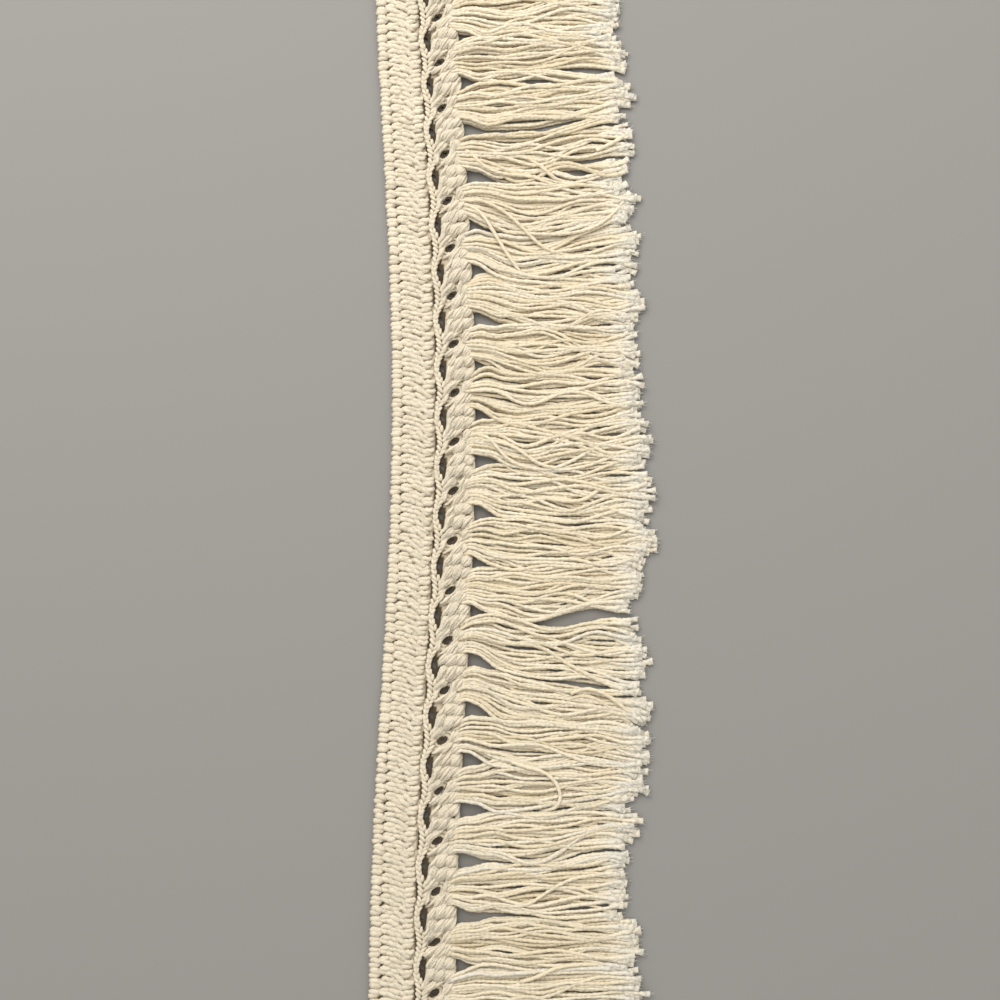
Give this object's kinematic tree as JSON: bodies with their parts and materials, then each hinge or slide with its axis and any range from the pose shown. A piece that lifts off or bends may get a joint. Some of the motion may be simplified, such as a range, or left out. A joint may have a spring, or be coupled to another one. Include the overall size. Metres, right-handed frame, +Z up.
{
  "type": "chainette fringe trim",
  "caption": "Cream cotton trim: a ribbed, openwork knitted heading with bundles of cut yarn fringe along one edge, lying flat in a soft wave.",
  "frame": {"origin": "centre of the trim's box, on the surface that it lies on", "axes": "+Y along the trim's length, +X from the selvage to the fringe tips, +Z up through its thickness"},
  "size_m": [0.0693, 0.2839, 0.0029],
  "materials": {
    "knitted_cotton": "matte knitted cotton",
    "fringe_yarn": "soft plied cotton yarn"
  },
  "bodies": {
    "root": {"heading": "knitted_cotton", "fringe": "fringe_yarn"}
  },
  "joints": []
}
